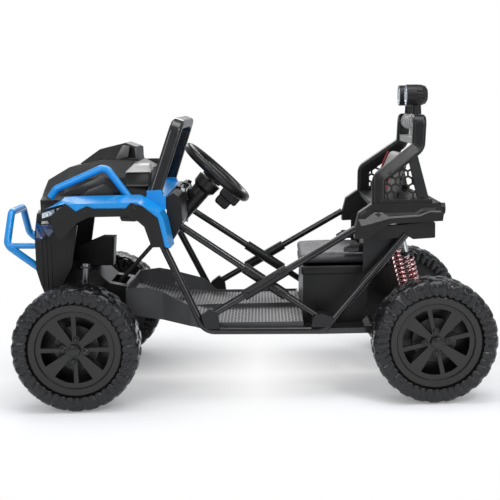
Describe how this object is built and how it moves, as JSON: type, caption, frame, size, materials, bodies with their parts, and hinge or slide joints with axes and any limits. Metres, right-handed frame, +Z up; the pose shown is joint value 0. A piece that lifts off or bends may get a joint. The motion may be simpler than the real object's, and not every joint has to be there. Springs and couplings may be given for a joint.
{
  "type": "child's electric ride-on buggy",
  "caption": "Ride-on electric buggy for one child, with tube side frames, lugged tyres, mudguards, bull bar, roll frame and steered front wheels.",
  "frame": {"origin": "on the floor below the middle of the overall box", "axes": "+X forward, +Y to the driver's left, +Z up"},
  "size_m": [1.315, 0.686, 0.829],
  "materials": {
    "tyre": "moulded foam tyre",
    "rim": "moulded, satin",
    "steel": "black powder coat",
    "black_tube": "satin black",
    "black_plastic": "fine grain",
    "blue_plastic": "gloss, moulded in colour",
    "floor": "moulded tread",
    "battery": "plain case",
    "seat": "moulded grain",
    "lamp": "gloss case with clear lens",
    "shock": "coated coil on a bright rod",
    "lens": "clear lens"
  },
  "bodies": {
    "chassis": {"rear_axle": "steel", "rear_frame": "steel", "side_rail_left": "black_tube", "side_rail_right": "black_tube", "brace_bars_left": "black_tube", "brace_bars_right": "black_tube", "cross_clamp_left": "black_plastic", "cross_clamp_right": "black_plastic", "brace_feet_left": "black_plastic", "brace_feet_right": "black_plastic", "fender_left": "black_plastic", "fender_right": "black_plastic", "front_beam": "black_plastic", "front_box": "black_plastic", "nose": "black_plastic", "hood": "black_plastic", "hood_scoop": "black_plastic", "rear_panel_left": "black_plastic", "rear_panel_right": "black_plastic", "roll_meshes": "black_plastic", "grab_hoop": "black_plastic", "dashboard": "black_plastic", "column_shroud": "black_plastic", "seat_box": "black_plastic", "rear_deck": "black_plastic", "roll_frame_left": "black_plastic", "roll_frame_right": "black_plastic", "roll_top": "black_plastic", "side_gussets": "black_plastic", "gearboxes": "black_plastic", "headlight_left": "black_plastic", "headlight_right": "black_plastic", "fender_trim_left": "blue_plastic", "fender_trim_right": "blue_plastic", "bumper": "blue_plastic", "hood_tube_left": "blue_plastic", "hood_tube_right": "blue_plastic", "cowl": "blue_plastic", "floor_tub": "floor", "battery": "battery", "seat_cushion": "seat", "seat_back": "seat", "roof_lamps": "lamp", "tail_lamps": "lamp", "rear_shocks": "shock", "lamp_lenses": "lens"},
    "steering": {"steering_wheel": "black_plastic", "steering_column": "steel"},
    "knuckle_left": {"knuckle_left": "steel"},
    "knuckle_right": {"knuckle_right": "steel"},
    "tie_rod": {"tie_rod": "steel"},
    "wheel_front_left": {"tyre_front_left": "tyre", "rim_front_left": "rim"},
    "wheel_front_right": {"tyre_front_right": "tyre", "rim_front_right": "rim"},
    "wheel_rear_left": {"tyre_rear_left": "tyre", "rim_rear_left": "rim"},
    "wheel_rear_right": {"tyre_rear_right": "tyre", "rim_rear_right": "rim"}
  },
  "joints": [
    {"name": "steer", "type": "hinge", "parent": "chassis", "child": "steering", "pos_m": [0.0785, 0, 0.593], "axis": [-0.682, 0, 0.7314], "range_deg": [-35, 35]},
    {"name": "kingpin_left", "type": "hinge", "parent": "chassis", "child": "knuckle_left", "pos_m": [0.4415, 0.205, 0.165], "axis": [-0.0872, 0, 0.9962], "range_deg": [-21, 21]},
    {"name": "kingpin_right", "type": "hinge", "parent": "chassis", "child": "knuckle_right", "pos_m": [0.4415, -0.205, 0.165], "axis": [-0.0872, 0, 0.9962], "range_deg": [-21, 21]},
    {"name": "tie_rod_pivot", "type": "hinge", "parent": "knuckle_left", "child": "tie_rod", "pos_m": [0.37667, 0.205, 0.21755], "axis": [-0.0872, 0, 0.9962], "range_deg": [-21, 21]},
    {"name": "front_wheel_left", "type": "hinge", "parent": "knuckle_left", "child": "wheel_front_left", "pos_m": [0.4415, 0.289, 0.165], "axis": [0, 1, 0], "continuous": true},
    {"name": "front_wheel_right", "type": "hinge", "parent": "knuckle_right", "child": "wheel_front_right", "pos_m": [0.4415, -0.289, 0.165], "axis": [0, 1, 0], "continuous": true},
    {"name": "rear_wheel_left", "type": "hinge", "parent": "chassis", "child": "wheel_rear_left", "pos_m": [-0.4925, 0.289, 0.165], "axis": [0, 1, 0], "continuous": true},
    {"name": "rear_wheel_right", "type": "hinge", "parent": "chassis", "child": "wheel_rear_right", "pos_m": [-0.4925, -0.289, 0.165], "axis": [0, 1, 0], "continuous": true}
  ],
  "couplings": [
    {"joint": "kingpin_left", "follows": "steer", "ratio": 0.6},
    {"joint": "kingpin_right", "follows": "steer", "ratio": 0.6},
    {"joint": "tie_rod_pivot", "follows": "steer", "ratio": -0.6}
  ]
}
